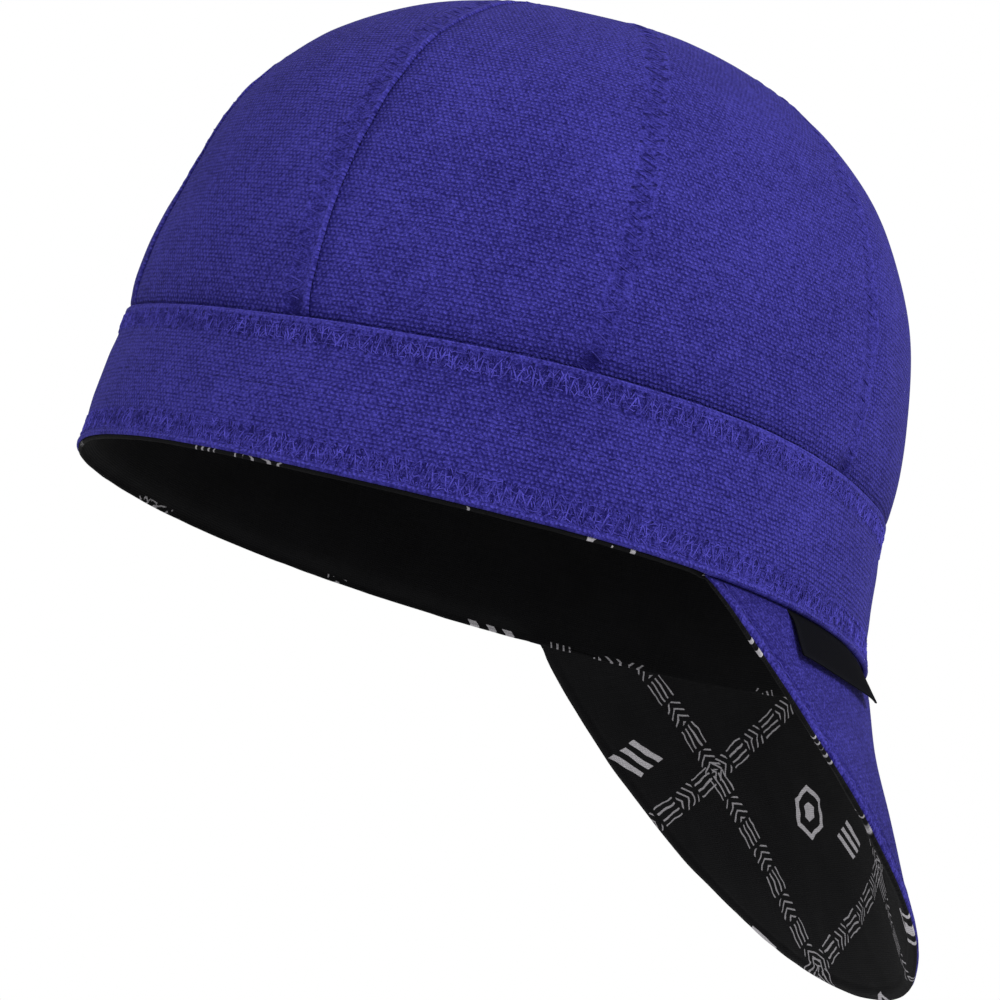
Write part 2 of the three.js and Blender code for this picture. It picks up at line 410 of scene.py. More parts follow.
# Pitch and width of the zigzags
SEAM_PITCH, SEAM_WIDTH = 2.1, 5.4
BAND_PITCH, BAND_WIDTH = 1.5, 4.8
HEM_PITCH, HEM_WIDTH = 3.0, 0.12
UNSEWN = 20.0  # across, where no stitches are near
GROOVE = (0.1, 0.36)  # from the middle line of a stitch to the floor and the lip of its groove
GROOVE_FADE = 0.4
HOLE = (0.2, 0.5)  # the same for the holes at its ends

# Dark and pale end of each colour, linear
PURPLE_DYE = ((0.008, 0.0056, 0.095, 1), (0.064, 0.056, 0.41, 1))
SEAM_DYE = ((0.016, 0.012, 0.13, 1), (0.062, 0.054, 0.36, 1))
BAND_DYE = ((0.014, 0.0105, 0.12, 1), (0.088, 0.076, 0.5, 1))
BLACK_DYE = ((0.0022, 0.0022, 0.0025, 1), (0.0095, 0.0095, 0.0105, 1))
PRINT_INK = ((0.30, 0.29, 0.31, 1), (0.62, 0.6, 0.63, 1))
TAB_DYE = ((0.0015, 0.0015, 0.0022, 1), (0.0065, 0.0068, 0.0095, 1))
FLOOR_GREY = ((0.80, 0.80, 0.80, 1), (0.86, 0.86, 0.86, 1))
PURPLE_SHEEN = (0.5, 0.45, 1.0, 1)

# The print, in millimetres
PRINT_TURN = radians(24)
PRINT_SHIFT = (19, 31)
RIBBON_PITCH = 58.0
RIBBON_HALF = 2.7
RIBBON_INK = 0.7
BLOCK = 7.4  # a ribbon changes from chevrons to lines after each block
CHEVRON_PITCH, CHEVRON_HALF = 2.1, 0.26
LINE_PITCH, LINE_HALF = 1.7, 0.24
HEXAGON_AT = (0.42, 0.55)  # as shares of the pitch of the ribbons
HEXAGON_RADIUS, HEXAGON_HALF, HEXAGON_DOT = 5.4, 0.65, 2.2
BARS_AT = (0.68, 0.28)
BARS_PITCH, BARS_HALF, BARS_LENGTH, BARS_SLANT = 3.6, 0.85, 8.6, 0.45


def weave(finish, row_pitch, bump_pitch):
    """Plain weave: staggered bumps of yarn in rows, from 0 in the gaps to 1 on the bumps."""
    drift = finish.cloth_noise(1 / bump_pitch, 1 / row_pitch, 9.0, 0.55, 1.0) - 0.5
    wander = finish.cloth_noise(0.07, 0.07, 3.0) - 0.5
    run = finish.u + wander * 1.6 + drift * (0.9 * bump_pitch)
    climb = finish.v + wander * 1.1 + drift * (0.6 * row_pitch)
    across = finish.maths("COSINE", run * (2 * pi / bump_pitch))
    up = finish.maths("COSINE", climb * (pi / row_pitch))
    side = finish.maths("MINIMUM", finish.maths("MAXIMUM", up * 2.5, -1.0), 1.0)
    return finish.between(abs(up) * (across * side * 0.42 + 0.62), 0.0, 1.0)


def yarns(finish, row_pitch, bump_pitch):
    """Uneven yarns both ways of the cloth, about 0.5."""
    rows = finish.cloth_noise(0.09, 1 / row_pitch, 0.0)
    columns = finish.cloth_noise(1 / bump_pitch, 0.09, 7.0)
    return (rows + columns) * 0.5


def stitch_marks(finish, pitch, width):
    """Grooves under a zigzag of stitches, and the holes at its turns, from 0 to 1. They sink the cloth's
    bump and darken its colour as painted shade.
    """
    across, count = finish.value("across"), finish.value("stitch")
    near = finish.maths("FLOOR", count + 0.5)
    side = (near % 2.0) * 2.0 - 1.0
    lean = pitch / hypot(pitch, width)
    off = abs(across - (count - near) * side * width) * lean
    past = finish.between(abs(across), width / 2, width / 2 + GROOVE_FADE)
    groove = (1 - finish.between(off, *GROOVE)) * (1 - past)
    last = finish.maths("FLOOR", count)
    out = across * ((last % 2.0) * 2.0 - 1.0) - width / 2
    run = (count - last - 0.5) * pitch
    hole = 1 - finish.between(finish.maths("SQRT", out * out + run * run), *HOLE)
    patchy = finish.between(finish.noise(420, 1.0), 0.3, 0.65) * finish.value("drawn")
    return groove * patchy, hole * patchy


def canvas_finish(name, relief, felt, pitch, width):
    """Purple cotton duck under a zigzag. felt is the share of the weave that fine fuzz hides."""
    finish = Finish(name)
    groove, hole = stitch_marks(finish, pitch, width)
    bumps = weave(finish, ROW_PITCH, BUMP_PITCH)
    slub = yarns(finish, ROW_PITCH, BUMP_PITCH)
    grain = finish.cloth_noise(1 / BUMP_PITCH, 1 / ROW_PITCH, 5.0, 1.1, 1.0)
    specks = finish.cloth_noise(1.0, 1.5, 2.0, 1.5, 1.0)
    fuzz = finish.noise(1900, 2.0, 0.6)
    patches = finish.noise(32, 3.0)
    sewn = 1 - finish.between(abs(finish.value("across")), width / 2, width / 2 + 1)
    smooth = felt + (1 - felt) * 0.7 * sewn
    weave_share = 1 - smooth
    height = bumps * (0.45 + grain * 1.1) * weave_share + fuzz * (0.3 + 1.3 * smooth) + slub * 0.5 \
        + specks * 0.6 - groove * 0.7 - hole * 0.7
    # Tone: the attribute of wear and painted light lightens worn, lit edges and paints shade into creases.
    # The grooves and holes of the stitches are darkened as painted shade. The weave's bumps are paler than
    # the gaps between them, partly painted shade and partly the yarn's own tone.
    tone = (bumps - 0.5) * (0.34 * weave_share) + (grain - 0.5) * 0.7 \
        + (fuzz - 0.5) * (0.35 + 0.9 * smooth) + (specks - 0.5) * 0.8 + (slub - 0.5) * 0.5 \
        + (patches - 0.5) * 0.35 + finish.value("wear_and_painted_light") * 0.45 - groove * 0.36 - hole * 0.3 \
        - smooth * 0.05 + (0.49 - felt * 0.21)
    color = finish.mix(finish.between(tone, 0.0, 1.0), *PURPLE_DYE)
    return finish.finish(color, 0.95 - bumps * 0.12, height, relief,
                         Sheen_Weight=0.05, Sheen_Roughness=0.5, Sheen_Tint=PURPLE_SHEEN,
                         Specular_IOR_Level=0.12)


def thread_finish(name, dark, pale):
    finish = Finish(name)
    fuzz = finish.noise(2600, 2.0, 0.6)
    patches = finish.noise(380, 2.0)
    tone = finish.between(fuzz * 0.45 + patches * 0.55, 0.3, 0.7)
    color = finish.mix(tone, dark, pale)
    return finish.finish(color, 0.7 + fuzz * 0.2, fuzz, 0.05,
                         Sheen_Weight=0.03, Sheen_Tint=PURPLE_SHEEN, Specular_IOR_Level=0.12)


def print_share(finish):
    """The print: a turned lattice of ribbons made of short strokes, with figures in its cells."""
    wobble = (finish.cloth_noise(1.0, 1.0, 4.0, 0.22, 1.0) - 0.5) * 1.8
    across = finish.u * cos(PRINT_TURN) + finish.v * sin(PRINT_TURN) + PRINT_SHIFT[0] + wobble
    along = finish.v * cos(PRINT_TURN) - finish.u * sin(PRINT_TURN) + PRINT_SHIFT[1] - wobble

    def mark(distance, half):
        """Ink up to half a stroke's width from its middle line."""
        return 1 - finish.between(distance, half - 0.05, half + 0.06)

    def centred(place):
        """Place beside the nearest middle of a repeat."""
        return (place + RIBBON_PITCH / 2) % RIBBON_PITCH - RIBBON_PITCH / 2

    def ribbon(side, run):
        offset = abs(centred(side))
        chevrons = mark(abs((run + offset * 0.7) % CHEVRON_PITCH - CHEVRON_PITCH / 2), CHEVRON_HALF)
        lines = mark(abs(offset % LINE_PITCH - LINE_PITCH / 2), LINE_HALF)
        turned = (run % (2 * BLOCK)) < BLOCK
        strokes = chevrons * turned + lines * (1 - turned)
        return strokes * mark(offset, RIBBON_HALF) * mark(abs(run % BLOCK - BLOCK / 2), BLOCK / 2 - 0.5)

    x, y = (centred(place - share * RIBBON_PITCH) for place, share in zip((across, along), HEXAGON_AT))
    six = finish.maths("MAXIMUM", abs(x) * 0.866 + abs(y) * 0.5, abs(y))
    ring, dot = mark(abs(six - HEXAGON_RADIUS), HEXAGON_HALF), mark(six, HEXAGON_DOT)
    x, y = (centred(place - share * RIBBON_PITCH) for place, share in zip((across, along), BARS_AT))
    bar = abs(x + y * BARS_SLANT)
    bars = (mark(abs(bar - BARS_PITCH), BARS_HALF) + mark(bar, BARS_HALF)) * mark(abs(y), BARS_LENGTH / 2)
    pale = finish.maths("MAXIMUM", ribbon(across, along), ribbon(along, across)) * RIBBON_INK
    for figure in (ring, dot, bars):
        pale = finish.maths("MAXIMUM", pale, figure)
    return pale


def lining_finish(name, print_height):
    """Black cotton with a thin pale print on its lowest part."""
    finish = Finish(name)
    bumps = weave(finish, LINING_ROW, LINING_BUMP)
    slub = yarns(finish, LINING_ROW, LINING_BUMP)
    fuzz = finish.noise(2300, 2.0)
    patches = finish.noise(60, 3.0)
    tone = finish.between(bumps * 0.25 + slub * 0.35 + fuzz * 0.3 + patches * 0.2, 0.25, 0.85)
    pale = print_share(finish) * finish.between(fuzz + slub, 0.55, 0.8) * (finish.v < print_height)
    color = finish.mix(pale, finish.mix(tone, *BLACK_DYE), finish.mix(tone, *PRINT_INK))
    return finish.finish(color, 0.9 - bumps * 0.1, bumps * 0.6 + slub * 0.6 + fuzz * 0.4, 0.09,
                         Sheen_Weight=0.01, Specular_IOR_Level=0.08)


def tab_finish():
    """Black woven tape with fine ribs."""
    finish = Finish("black_woven_tape")
    ribs = finish.between(finish.maths("COSINE", finish.v * (2 * pi / TAB_RIB)), -0.8, 0.9)
    fine = finish.maths("COSINE", finish.u * (2 * pi / TAB_YARN) + ribs * pi) * 0.5 + 0.5
    fuzz = finish.noise(2600, 2.0)
    tone = finish.between(ribs * 0.35 + fine * 0.25 + fuzz * 0.4 + finish.value("wear_and_painted_light") * 0.3, 0.1, 1.1)
    return finish.finish(finish.mix(tone, *TAB_DYE), 0.95 - ribs * 0.1,
                         ribs * 0.7 + fine * 0.3 + fuzz * 0.3, 0.07, Specular_IOR_Level=0.03)


def floor_finish():
    finish = Finish("pale_floor")
    speck = finish.noise(60, 3.0)
    return finish.finish(finish.mix(speck, *FLOOR_GREY), 0.8 - speck * 0.1, speck, 0.02)


CROWN_CANVAS = canvas_finish("purple_crown_canvas", 0.36, 0.0, SEAM_PITCH, SEAM_WIDTH)
BAND_CANVAS = canvas_finish("purple_band_canvas", 0.36, 0.0, BAND_PITCH, BAND_WIDTH)
PEAK_CANVAS = canvas_finish("purple_felted_canvas", 0.24, 0.75, HEM_PITCH, HEM_WIDTH)
SEAM_THREAD = thread_finish("purple_seam_thread", *SEAM_DYE)
BAND_THREAD = thread_finish("purple_band_thread", *BAND_DYE)
PRINTED_LINING = lining_finish("black_print_cotton", 1000)
CROWN_LINING = lining_finish("black_plain_cotton", 0.8)
TAB_TAPE = tab_finish()


def dress(piece, finish, nodes=()):
    """Gives a piece its material, its body and the nodes that it replaces."""
    piece.data.materials.clear()
    piece.data.materials.append(finish)
    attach(piece, "root")
    if nodes:
        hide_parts(*nodes)


# How the cloth lies. From here on, sizes are in millimetres where no MM stands beside them, and a
# depth is how far a face lies inside the form.

BEHIND_BAND = (CANVAS + LAYER_GAP) / MM
BAND_TOP = BAND_HEIGHT / MM

# Broad swells and dents: the middle of each, how wide it is and how far it stands out
SWELLS = (
    ((32, 32, 129), 30, 1.4),
    ((0, -94, 70), 20, -1.6),
    ((0, -98, 36), 12, 0.5),
    ((-10, 99, 36), 20, 0.9),
    ((74, 48, 30), 26, 1.5),
)

TUCK_END, TUCK_FRONT = 0.6, 8.0  # how far the peak is sewn in behind the band


def slack(points):
    """Low swells and dents, alike for every layer of cloth."""
    broad = sum(rise * bell(np.linalg.norm(points / MM - middle, axis=-1), width)
                for middle, width, rise in SWELLS)
    return broad + 0.4 * field(points, 85 * MM, 1) + 0.2 * field(points, 36 * MM, 2)


def puckers(points):
    """Short gathers that a row of stitches draws in."""
    return 0.6 * field(points * (1, 1, 0.55), 7.5 * MM, 3) + 0.6 * field(points, 11.5 * MM, 4)


def even_pitch(length, pitch, closed):
    """The pitch of stitches that divide a line evenly."""
    return length / (int(length / pitch) + closed)


def tuck_height(turn):
    """How far the sewn edge of the peak reaches up behind the band."""
    return TUCK_END + (TUCK_FRONT - TUCK_END) * np.clip(1 - (turn / PEAK_TURN) ** 2, 0, None)


def past_peak(turn):
    """1 where the band has no peak behind it."""
    return ease(from_front(turn), PEAK_TURN, PEAK_TURN + 0.05)


def recess(turn, up):
    """How far the crown stands back behind the band, at heights above the band's top edge."""
    return (0.1 + 0.9 * bell(from_front(turn) - 1.4, 0.7)) * bell(up, np.where(up < 0, 12, 7))


# Gores

GORE_WALL = 0.75
FOLD_LINE = 3.6  # from the fold of a seam to the middle of its stitches
FOLD_GROOVE = 3.7  # from the fold to the middle of the groove that they press
BEAD = 0.55  # of the roll along the fold, its middle and its width
NARROW = 27  # a gore's seams shrink with it where it is narrower than this
LOW_CLOTH = 28  # length of cloth behind the band

# Columns inwards from each seam and over the lap, rows up from the band, and rows behind it
SEAM_STEPS = np.array([0, 0.25, 0.55, 0.9, 1.3, 1.8, 2.4, 3.1, 3.9, 4.8, 5.8, 7, 8.5])
SEAM_SIDE = SEAM_STEPS[-1]
LAP_STEPS = np.array([0.4, 1, 2, 3.2])
MIDDLE_SHARES = np.linspace(0, 1, 19)[1:-1]
FIRST_ROWS = np.array([0, 0.4, 0.8, 1.3, 1.9, 2.6, 3.4, 4.4, 5.6, 7, 8.6])
ROW_STEP = 1.8
LOW_SHARES = np.array([0, 0.35, 0.65, 0.85, 0.95])

# How far each seam is sewn off its even place, in degrees: all the way up, and at its foot only
SEAM_SHIFTS = (0, 0, 0, 0, 0, 0, 0.3, 1.2)
FOOT_SHIFTS = (0, 0, 0, 0, 0, 0, 1.5, -2.2)
# How crisp the fold of each seam is, which also sets its painted highlight and the painted shade in front
# of it, and how deep its stitches draw in the cloth, which also sets the painted shade in their grooves and
# holes
SEAM_FOLDS = (0.7, 0.7, 0.7, 0.7, 0.7, 0.4, 0.15, 1)
SEAM_MARKS = (0.5, 0.5, 0.5, 0.5, 0.5, 0.3, 1, 0.7)


def seam_turn(number, up):
    """Turn of the seam before a gore, at heights above the band."""
    shift = SEAM_SHIFTS[number % GORES] + FOOT_SHIFTS[number % GORES] * np.exp(-up / 16)
    return CROWN_TURN - pi + GORE_TURN * number + np.radians(shift)


def gore(number):
    """One gore: its first edge is folded and lies over the last edge of the gore before it.

    Gives the piece, and the middle line of the stitches along the fold with its outward ways."""
    middle_turn = CROWN_TURN - pi + GORE_TURN * (number + 0.5)
    fine = np.linspace(1, CROWN_TOP, 6001)
    climb = lengths(cap_skin(middle_turn, fine))
    up = np.concatenate([FIRST_ROWS, np.arange(FIRST_ROWS[-1] + ROW_STEP, climb[-1] - 1.2, ROW_STEP),
                         climb[-1:]])
    levels = np.interp(up, climb, fine)
    around = middle_turn + np.linspace(-0.65, 0.65, 201) * GORE_TURN
    runs = [lengths(cap_skin(around, level)) for level in levels]
    starts, ends = ([np.interp(turn, around, run) for turn, run in zip(seam_turn(number + side, up), runs)]
                    for side in (0, 1))
    width = np.subtract(ends, starts)
    scale = np.minimum(1, width / NARROW)
    crisp, crisp_last = SEAM_FOLDS[number], SEAM_FOLDS[(number + 1) % GORES]

    def lay(x):
        """Turns, points, outward ways, depth, and wear with painted light and shade, at distances from the
        fold, a row a level.
        """
        turn = np.array([np.interp(row + start, run, around) for row, start, run in zip(x, starts, runs)])
        skin, ways = cap_lie(turn, levels[:, None])
        s = scale[:, None]
        fold, lap = x / s, (width[:, None] - x) / s
        rows = up[:, None]
        # The fold lies over its allowance and rolls at its edge, and the next fold lies over the lap
        bead = bell(fold - BEAD, BEAD) * crisp
        groove = bell(fold - FOLD_GROOVE, 2.2)
        over = 0.2 * crisp * (1 - ease(fold, 6, 9)) + 0.26 * bead - 0.2 * groove
        under = (0.1 + 0.4 * crisp_last) * (1 - ease(lap, -0.2, 5))
        step = s * (1 - 0.6 * np.exp(-rows / 2.5)) * (1 - 0.45 * ease(rows, 60, 95))
        # The foot is tucked in behind the band, most at the sides
        roll = 1.1 + 2.1 * bell(from_front(turn) - 1.4, 0.8)
        tucked = BEHIND_BAND * np.exp(-rows / roll) + recess(turn, rows)
        pinch = (bell(fold - FOLD_GROOVE, 2.4) + bell(lap + FOLD_GROOVE, 2.4)) * bell(rows - 2.2, 2.8)
        # Stitches gather the cloth near the seams and the band
        near_seam = np.exp(-np.minimum(fold, np.abs(lap)).clip(0) / 6.5)
        gather = puckers(skin) * (0.16 * near_seam * s + 0.14 * np.exp(-rows / 8)) \
            * (1 - np.exp(-rows)) * (1 - 0.6 * ease(rows, 70, 100))
        lumps = field(skin, 2.2 * MM, 8) * bead * s
        depth = tucked - (over - under) * step - slack(skin) - gather - 0.2 * lumps + 0.6 * pinch
        # Colour: the fold's bead and its lumps are lighter, partly wear and partly a painted highlight.
        # Painted shade darkens the lap just in front of the next fold, the groove the stitches press, the
        # pinch, and the crown just above the band's edge.
        lap_shade = 0.5 * bell(lap - 0.1, 0.8) + 0.2 * bell(lap - 0.6, 2.2)
        wear_and_painted_light = 0.3 * bead + 0.25 * lumps - lap_shade * crisp_last - 0.14 * bell(fold - FOLD_GROOVE, 2.4) \
            - 0.5 * pinch - 0.4 * np.exp(-rows / 3.6)
        return turn, skin, ways, depth, wear_and_painted_light

    x = np.array([np.concatenate([
        SEAM_STEPS * s, SEAM_SIDE * s + (w - 2 * SEAM_SIDE * s) * MIDDLE_SHARES,
        w - SEAM_STEPS[::-1] * s, w + LAP_STEPS * s]) for w, s in zip(width, scale)])
    turn, skin, ways, depth, wear_and_painted_light = lay(x)

    low_turn = turn[0]
    bottom = np.maximum(tuck_height(low_turn) + 0.3, 4.5) / BAND_TOP
    low_level = bottom + (1 - bottom) * LOW_SHARES[:, None]
    low_skin, low_ways = cap_lie(low_turn, low_level)
    low_up = (low_level - 1) * BAND_TOP
    low_depth = depth[0] + slack(skin[0]) - slack(low_skin) + recess(low_turn, low_up) - recess(low_turn, 0)

    def with_low(rows):
        """Rows with the first one repeated below them, behind the band."""
        return np.concatenate([np.repeat(rows[:1], len(LOW_SHARES), 0), rows])

    skin, ways = np.vstack([low_skin, skin]), np.vstack([low_ways, ways])
    depth = np.vstack([low_depth, depth])
    climbs = np.concatenate([(LOW_SHARES - 1) * LOW_CLOTH, up])
    uv = np.stack(np.broadcast_arrays(with_low(x - width[:, None] / 2), climbs[:, None]), -1)

    stitch_at = (FOLD_LINE * scale)[:, None]
    _, seam_skin, seam_ways, seam_depth, _ = lay(stitch_at)
    line = inside(seam_skin, seam_ways, seam_depth)[:, 0]
    sewn = (up > 0.3) & (up < up[-1] - 6)
    run = lengths(line)
    start, end = run[sewn][[0, -1]]
    count = (run - start) / even_pitch(end - start, SEAM_PITCH, False)
    across = np.where(sewn[:, None], x - stitch_at, UNSEWN)
    drawn = SEAM_MARKS[number] * (0.35 + 0.65 * ease(up, 12, 50))
    piece = cloth_wall(
        f"gore_{number + 1}_cloth", inside(skin, ways, depth), inside(skin, ways, depth + GORE_WALL), uv,
        values={"wear_and_painted_light": with_low(wear_and_painted_light), "across": with_low(across), "stitch": with_low(count)[:, None],
                "drawn": with_low(drawn)[:, None]})
    return piece, line[sewn], seam_ways[sewn, 0]


# Band

BAND_TURNS = np.linspace(0, 2 * pi, 501)[:-1]
BAND_ROWS = np.array([
    0.45, 0.8, 1.2, 1.7, 2.3, 3, 3.8, 4.6, 5.4, 6.3, 7.3, 8.4, 9.6, 11, 13, 15, 17, 19, 21, 23, 24.8,
    26.2, 27.4, 28.4, 29.3, 30.1, 30.9, 31.7, 32.4, 33.1, 33.7, 34.2, 34.6, 35, 35.35])
UPPER_LINE = BAND_TOP - 4.1  # middle lines of the two rows of stitches
LOWER_LINE = 4.6
BAND_BELLY = 0.34  # how far the band bulges between them
BAND_THINNED = 0.45  # how much thinner its rim is where no peak is sewn in

# Up the band: middle, width and strength of each ridge, each gather, and each band of wear and painted
# light. That table is lighter at the rolled edges, partly wear and partly painted highlight, and darker
# over the stitches' grooves, which is painted shade. The last table goes by turn instead and is painted
# light and shade only: darker round 100 degrees and lighter round 52 degrees, either way from the front.
BAND_RIDGES = ((0.9, 0.7, 0.25), (LOWER_LINE, 2.6, -0.22), (BAND_TOP - 4.3, 2.2, -0.26),
               (BAND_TOP - 0.7, 0.6, 0.12))
BAND_GATHERS = ((LOWER_LINE, 3.6, 0.17), (BAND_TOP - 4.3, 3.2, 0.17))
BAND_WEAR_AND_PAINTED_LIGHT = ((BAND_TOP - 0.5, 0.5, 0.45), (0.8, 0.7, 0.25), (LOWER_LINE, 2.6, -0.12),
             (BAND_TOP - 4.6, 2.2, -0.25))
BAND_PAINTED_SHADING = ((0.9, 0.18, 0.08), (1.75, 0.4, -0.22))


def ring_uv(turns, level, up, cell):
    """Places on a ring's cloth, whose girth is a whole number of cells."""
    run = lengths(cap_skin(np.append(turns, 2 * pi + turns[0]), level))
    run *= round(run[-1] / cell) * cell / run[-1]
    return np.stack(np.meshgrid(run, up), -1)


def band_lie(turn, up):
    """Points, outward ways and depth of the band's face."""
    skin, ways = cap_lie(turn, up / BAND_TOP, 0.997)
    rise = ridges(up, BAND_RIDGES) + BAND_BELLY * ease(up, 7, 13) * (1 - ease(up, 23, 29))
    depth = -rise - slack(skin) - puckers(skin) * ridges(up, BAND_GATHERS)
    return skin, ways, depth


def band_line(up):
    """A closed line round the band, with its outward ways."""
    turn = np.linspace(0, 2 * pi, 721)[:-1]
    skin, ways, depth = band_lie(turn, np.full_like(turn, up))
    return inside(skin, ways, depth), ways, True


def stitch_count(up):
    """The count of stitches at each of the band's turns."""
    line = band_line(up)[0]
    run = lengths(np.vstack([line, line[:1]]))
    count = run / even_pitch(run[-1], BAND_PITCH, True)
    return np.interp(BAND_TURNS, np.linspace(0, 2 * pi, len(run)), count)


def band():
    turn, up = BAND_TURNS[None, :], BAND_ROWS[:, None]
    skin, ways, depth = band_lie(turn, up)
    thinned = BAND_THINNED * past_peak(turn) * (1 - ease(up, 0.5, 3))
    outer, inner = inside(skin, ways, depth), inside(skin, ways, CANVAS / MM - thinned - slack(skin))
    # Lighter at the rolled edges, partly wear and partly painted highlight; painted shade over the
    # stitches' grooves; and painted shade and light by turn round the band.
    wear_and_painted_light = ridges(up, BAND_WEAR_AND_PAINTED_LIGHT) + ridges(from_front(turn), BAND_PAINTED_SHADING)
    upper = up > BAND_TOP / 2
    across = np.where(upper, up - UPPER_LINE, up - LOWER_LINE)
    count = np.where(upper, stitch_count(UPPER_LINE), stitch_count(LOWER_LINE))
    uv = ring_uv(BAND_TURNS, 0.5, BAND_ROWS, BUMP_PITCH)
    return cloth_wall("band_cloth", outer, inner, uv, ring=True,
                      values={"wear_and_painted_light": wear_and_painted_light, "across": across, "stitch": count, "drawn": 1.0})


# Lining of the cap

LINING_TURNS = np.linspace(0, 2 * pi, 281)[:-1]
LINING_ROWS = np.array([-0.3, 0.1, 0.6, 1.2, 2.2, 3.6, 5.4, 8])
LINING_STEP = 3.0
LINING_DEPTH = 2.4
LINING_WALL = 0.8
RIM_LIFT = 1.75  # how far the lining comes out to the rim where no peak is sewn in
CROWN_LIFT = 0.85  # how far it comes out above the band


def cap_lining():
    fine = np.linspace(-0.02, CROWN_TOP - 0.004, 6001)
    climb = lengths(cap_skin(pi / 4, fine))
    climb -= np.interp(0, fine, climb)
    up = np.concatenate([LINING_ROWS, np.arange(LINING_ROWS[-1] + LINING_STEP, climb[-1] - 1, LINING_STEP),
                         climb[-1:]])
    turn, rows = LINING_TURNS[None, :], up[:, None]
    skin, ways = cap_lie(turn, np.interp(rows, climb, fine))
    over_band = rows - climb[np.searchsorted(fine, 1)]
    depth = LINING_DEPTH + 0.35 * ease(rows, 3, 10) - CROWN_LIFT * ease(over_band, 0, 11) \
        - RIM_LIFT * (1 - ease(rows, 0.2, 4.5)) * past_peak(turn) + recess(turn, over_band) - slack(skin)
    sag = 0.35 * np.abs(field(skin, 24 * MM, 6)) * ease(rows, 4, 12) + 0.12 * puckers(skin) * bell(rows, 6)
    uv = ring_uv(LINING_TURNS, 0, up, LINING_BUMP)
    return cloth_wall("cap_lining_cloth", inside(skin, ways, depth),
                      inside(skin, ways, depth + LINING_WALL + sag), uv, ring=True, closed_top=True)


# Peak

PEAK_SLOPE = radians(26)  # of the cylinder that the peak's cloth is unrolled from
PEAK_ROUND = 88.0  # its radius
PEAK_COLUMNS = 221
EDGE_STEPS = np.array([0, 0.35, 0.7, 1.1, 1.5, 1.9, 2.3, 2.65, 3, 3.35, 3.7, 4.1, 4.6, 5.2, 6, 7, 8.2])
RIM_REACHES = np.array([0.06, 0.045, 0.03, 0.018, 0.008, 0])
TUCK_SHARES = np.array([0.25, 0.6, 1])
COVER_WALL = 0.85
COVER_TRIM = 0.95  # how far the cover's grid stops short of the free edge
LINING_TRIM = 0.45
LINING_UNDER = 1.15  # from the cover's face down to the lining
HEM_LINE = 3.1  # from the free edge to the stitches

# Ridges, wear and painted light beside the free edge: distance from it, width and strength. The middle
# table is lighter by the edge, partly wear and partly painted highlight, and darker along the stitches,
# which is painted shade.
HEM_RIDGES = ((1.4, 0.9, 0.25), (HEM_LINE, 0.55, -0.28), (4.4, 0.8, 0.16))
HEM_WEAR_AND_PAINTED_LIGHT = ((0.6, 0.9, 0.35), (HEM_LINE, 0.6, -0.3))
HEM_INSIDE = ((1.4, 0.9, 0.2), (HEM_LINE, 0.6, -0.22))


def peak_uv(points):
    """Places on the peak's cloth, unrolled from a cylinder."""
    x, y, z = (points[..., axis] / MM for axis in range(3))
    front = y * cos(PEAK_SLOPE) + z * sin(PEAK_SLOPE)
    down = y * sin(PEAK_SLOPE) - z * cos(PEAK_SLOPE)
    return np.stack([PEAK_ROUND * np.arctan2(x, front), -down], -1)


# Turns of the peak's columns, even along the rim, and reaches of its rows, from the free edge up
FINE_TURNS = np.linspace(-PEAK_TURN, PEAK_TURN, 2001)
RIM_RUN = lengths(cap_skin(FINE_TURNS, 0))
PEAK_TURNS = np.interp(np.linspace(0, RIM_RUN[-1], PEAK_COLUMNS), RIM_RUN, FINE_TURNS)
EDGE_REACHES = 1 - EDGE_STEPS / (PEAK_LENGTH / MM)
PEAK_REACHES = np.concatenate([
    EDGE_REACHES, np.linspace(EDGE_REACHES[-1], RIM_REACHES[0], 33)[1:-1], RIM_REACHES])


def edge_distance(points, edge):
    """Distance of each point from the peak's free edge."""
    flat, best = points.reshape(-1, 3), np.inf
    for a, b in zip(edge, np.diff(edge, axis=0)):
        share = np.clip((flat - a) @ b / (b @ b), 0, 1)
        best = np.minimum(best, np.linalg.norm(flat - a - share[:, None] * b, axis=1))
    return best.reshape(points.shape[:-1]) / MM


def kept_share(length, trim):
    """Share of the peak's length that is left when its edge is trimmed."""
    return 1 - np.minimum(trim * MM / length, 0.7)


def peak_lie(turn, reach, trim):
    """Points, outward ways, depth, distance from the free edge and share of the full swell."""
    turn, reach = np.broadcast_arrays(turn, reach)
    length = peak_length(turn)
    reach = reach * kept_share(length, trim)
    skin, ways = peak_skin(turn, reach), peak_outward(turn, reach)
    free_edge = peak_skin(PEAK_TURNS, kept_share(peak_length(PEAK_TURNS), trim))
    far = edge_distance(skin, np.vstack([cap_skin(-PEAK_TURN, 0), free_edge, cap_skin(PEAK_TURN, 0)]))
    free = swell(length * reach)
    soft = free * (slack(skin) + 0.5 * field(skin, 45 * MM, 9) * ease(length * reach / MM, 5, 40))
    depth = BEHIND_BAND * (1 - free) - soft - (1 - free) * slack(cap_skin(turn, 0))
    return skin, ways, depth, far, free


